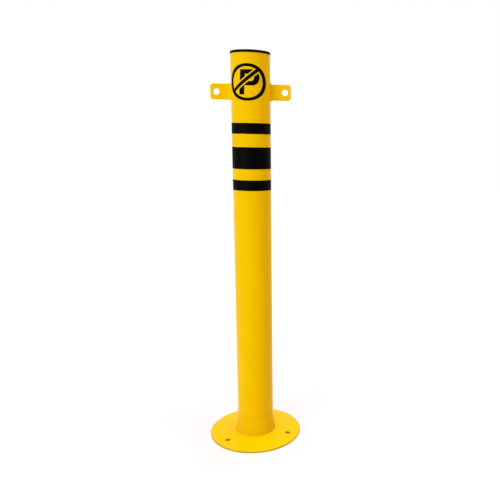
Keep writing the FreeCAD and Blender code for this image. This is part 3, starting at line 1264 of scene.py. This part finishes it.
rim_radius = TUBE_DIAMETER / 2 + CAP_OVERHANG
edge_top = TUBE_TOP + CAP_EDGE
shank_radius = TUBE_DIAMETER / 2 - TUBE_WALL - CAP_SHANK_GAP
shank_end = TUBE_TOP - CAP_SHANK_DEPTH
cap_profile = []
for i in range(SINK_STEPS + 1):
    t = i / SINK_STEPS
    cap_profile.append(((rim_radius - CAP_EDGE_ROUNDING) * t, edge_top - CAP_SINK * (1 - t * t) ** 2))
rim_centre = (rim_radius - CAP_EDGE_ROUNDING, edge_top - CAP_EDGE_ROUNDING)
cap_profile += arc_points(rim_centre, CAP_EDGE_ROUNDING, 90, 0)[1:]
lip_centre = (rim_radius - CAP_LIP_ROUNDING, TUBE_TOP + CAP_LIP_ROUNDING)
cap_profile += arc_points(lip_centre, CAP_LIP_ROUNDING, 0, -90)
cap_profile += [
    (shank_radius, TUBE_TOP),
    (shank_radius, shank_end),
    (shank_radius - CAP_SHANK_WALL, shank_end),
    (shank_radius - CAP_SHANK_WALL, edge_top - CAP_HEAD_WALL),
    (0.0, edge_top - CAP_HEAD_WALL),
]
top_cap = new_piece("moulded_top_cap", turned("moulded_top_cap", cap_profile))
fin_spacing = CAP_SHANK_DEPTH / (FIN_COUNT + 1)
fin_root_radius = shank_radius - CAP_SHANK_WALL / 2
grow(
    top_cap,
    tree,
    {
        "Fin Count": FIN_COUNT,
        "Fin Spacing": fin_spacing,
        "First Fin": TUBE_TOP - fin_spacing,
        "Root Radius": fin_root_radius,
        "Tip Radius": TUBE_DIAMETER / 2 - TUBE_WALL - FIN_CLEARANCE,
        "Root Thickness": FIN_ROOT,
        "Tip Thickness": FIN_TIP,
        "Finish": black_plastic,
    },
)
smooth(top_cap)
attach(top_cap, "root")
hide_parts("top_cap")

# Floor: a wide pale sheet that the bollard stands on. It takes the object's shadow, and it brightens
# to the eye with distance from the plate's rim, so that it meets the white room without a horizon.
FLOOR_HALF = 6.0
WHITE = "#ffffff"
FLOOR_PALE = "#d0d1dc"
# Painted light: the paper's golden colour under the plate.
FLOOR_PAINTED_BOUNCE = "#e4b41c"
FLOOR_NEAR_LIFT = 0.29
FLOOR_FAR_LIFT = 1.0
FLOOR_FADE_END = 4.6


def seen_rays(tree):
    """Tells whether a ray comes from the eye, straight, off a gloss or through something clear."""
    rays = add_node(tree, "ShaderNodeLightPath").outputs
    straight_or_gloss = add_node(
        tree,
        "ShaderNodeMath",
        {0: rays["Is Camera Ray"], 1: rays["Is Glossy Ray"]},
        operation="MAXIMUM",
    )
    seen = add_node(
        tree,
        "ShaderNodeMath",
        {0: straight_or_gloss.outputs[0], 1: rays["Is Transmission Ray"]},
        operation="MAXIMUM",
    )
    return seen.outputs[0]


# Matt white paper, rolled out flat: an even white with no gloss. Its trace of blue offsets the warm room.
floor_paper, tree = new_material("matt_white_paper")
from_middle = add_node(
    tree,
    "ShaderNodeVectorMath",
    {0: add_node(tree, "ShaderNodeTexCoord").outputs["Object"]},
    operation="LENGTH",
)
clear_of_plate = add_node(
    tree,
    "ShaderNodeMath",
    {0: from_middle.outputs["Value"], 1: PLATE_DIAMETER / 2},
    operation="GREATER_THAN",
)
# Under the plate the paper is painted golden: painted light, as if only light off the yellow coat reached
# it. It shows through the holes.
paper_colour = add_node(
    tree,
    "ShaderNodeMix",
    {"Factor": clear_of_plate.outputs[0], 6: linear(FLOOR_PAINTED_BOUNCE), 7: linear(FLOOR_PALE)},
    data_type="RGBA",
)
paper = add_node(tree, "ShaderNodeBsdfDiffuse", {"Color": paper_colour.outputs[2]})
fade = add_node(
    tree,
    "ShaderNodeMapRange",
    {
        "Value": from_middle.outputs["Value"],
        "From Min": PLATE_DIAMETER / 2,
        "From Max": FLOOR_FADE_END,
        "To Min": FLOOR_NEAR_LIFT,
        "To Max": FLOOR_FAR_LIFT,
    },
)
# The hollow under the dished plate isn't brightened.
lift = add_node(
    tree,
    "ShaderNodeMath",
    {0: fade.outputs["Result"], 1: clear_of_plate.outputs[0]},
    operation="MULTIPLY",
)
glow = add_node(tree, "ShaderNodeEmission", {"Color": linear(WHITE), "Strength": lift.outputs[0]})
lit_paper = add_node(tree, "ShaderNodeAddShader", {0: paper.outputs[0], 1: glow.outputs[0]})
sheet = add_node(
    tree,
    "ShaderNodeMixShader",
    {0: seen_rays(tree), 1: paper.outputs[0], 2: lit_paper.outputs[0]},
)
add_node(tree, "ShaderNodeOutputMaterial", {"Surface": sheet.outputs[0]})
floor_mesh = bpy.data.meshes.new("floor")
floor_corners = [
    (-FLOOR_HALF, -FLOOR_HALF, 0.0),
    (FLOOR_HALF, -FLOOR_HALF, 0.0),
    (FLOOR_HALF, FLOOR_HALF, 0.0),
    (-FLOOR_HALF, FLOOR_HALF, 0.0),
]
floor_mesh.from_pydata(floor_corners, [], [(0, 1, 2, 3)])
floor_mesh.materials.append(floor_paper)
floor = new_piece("floor", floor_mesh)

# Light: a soft lamp at the left front, as high as the bollard, a larger one overhead, and a weak warm one
# at the right. The room fills the shade with a little warm light, and the eye sees it white.
ROOM_WARM = "#ffe4bc"
ROOM_FILL = 0.31
LAMP_WARM = "#ff9a48"
world = bpy.data.worlds.new("white_room")
world.use_nodes = True
tree = world.node_tree
tree.nodes.clear()
fill = add_node(tree, "ShaderNodeBackground", {"Color": linear(ROOM_WARM), "Strength": ROOM_FILL})
white = add_node(tree, "ShaderNodeBackground", {"Color": linear(WHITE), "Strength": 1.0})
room = add_node(
    tree,
    "ShaderNodeMixShader",
    {0: seen_rays(tree), 1: fill.outputs[0], 2: white.outputs[0]},
)
add_node(tree, "ShaderNodeOutputWorld", {"Surface": room.outputs[0]})
bpy.context.scene.world = world


def add_lamp(name, spot, aim, size, power, colour):
    """A square area lamp that faces a point."""
    lamp = bpy.data.lights.new(name, "AREA")
    lamp.size = size
    lamp.energy = power
    lamp.color = linear(colour)[:3]
    holder = bpy.data.objects.new(name, lamp)
    holder.location = spot
    holder.rotation_euler = (Vector(aim) - Vector(spot)).to_track_quat("-Z", "Y").to_euler()
    bpy.context.collection.objects.link(holder)


add_lamp("key_lamp", spot=(-2.0, -2.3, 0.8), aim=(0, 0, 0.4), size=1.6, power=43, colour=WHITE)
add_lamp("top_lamp", spot=(0.2, 0.1, 3.0), aim=(0, 0, 0), size=2.4, power=86, colour=WHITE)
add_lamp("right_lamp", spot=(2.2, -0.8, 1.5), aim=(0, 0, 0.6), size=1.2, power=9, colour=LAMP_WARM)

# Camera: a good metre away and lower than the bollard's top, a little right of its front and tilted down.
# The lens is shifted, because the picture's frame isn't centred on the lens's axis.
CAMERA_DISTANCE = 1.17087
CAMERA_HEIGHT = 0.63897
CAMERA_SIDE = math.radians(6.4167)
CAMERA_PAN = math.radians(8.6897)
CAMERA_PITCH = math.radians(13.0685)
CAMERA_ROLL = math.radians(1.1032)
CAMERA_LENS = 40.906
CAMERA_SENSOR = 36
CAMERA_SHIFT = (-0.176, 0.04)
CAMERA_REACH = (0.01, 50)
camera = bpy.data.cameras.new("camera")
camera.sensor_width = CAMERA_SENSOR
camera.sensor_fit = "HORIZONTAL"
camera.lens = CAMERA_LENS
camera.shift_x, camera.shift_y = CAMERA_SHIFT
camera.clip_start, camera.clip_end = CAMERA_REACH
spot = Vector(
    (
        CAMERA_DISTANCE * math.sin(CAMERA_SIDE),
        -CAMERA_DISTANCE * math.cos(CAMERA_SIDE),
        CAMERA_HEIGHT,
    )
)
heading = Vector((-math.sin(CAMERA_SIDE), math.cos(CAMERA_SIDE), 0))
heading.rotate(Matrix.Rotation(-CAMERA_PAN, 3, "Z"))
ahead = heading * math.cos(CAMERA_PITCH) - Vector((0, 0, math.sin(CAMERA_PITCH)))
level = ahead.cross(Vector((0, 0, 1))).normalized()
upright = level.cross(ahead)
right = level * math.cos(CAMERA_ROLL) + upright * math.sin(CAMERA_ROLL)
up = upright * math.cos(CAMERA_ROLL) - level * math.sin(CAMERA_ROLL)
holder = bpy.data.objects.new("camera", camera)
holder.matrix_world = Matrix.Translation(spot) @ Matrix((right, up, -ahead)).transposed().to_4x4()
bpy.context.collection.objects.link(holder)
bpy.context.scene.camera = holder
bpy.context.scene.view_settings.view_transform = "Standard"
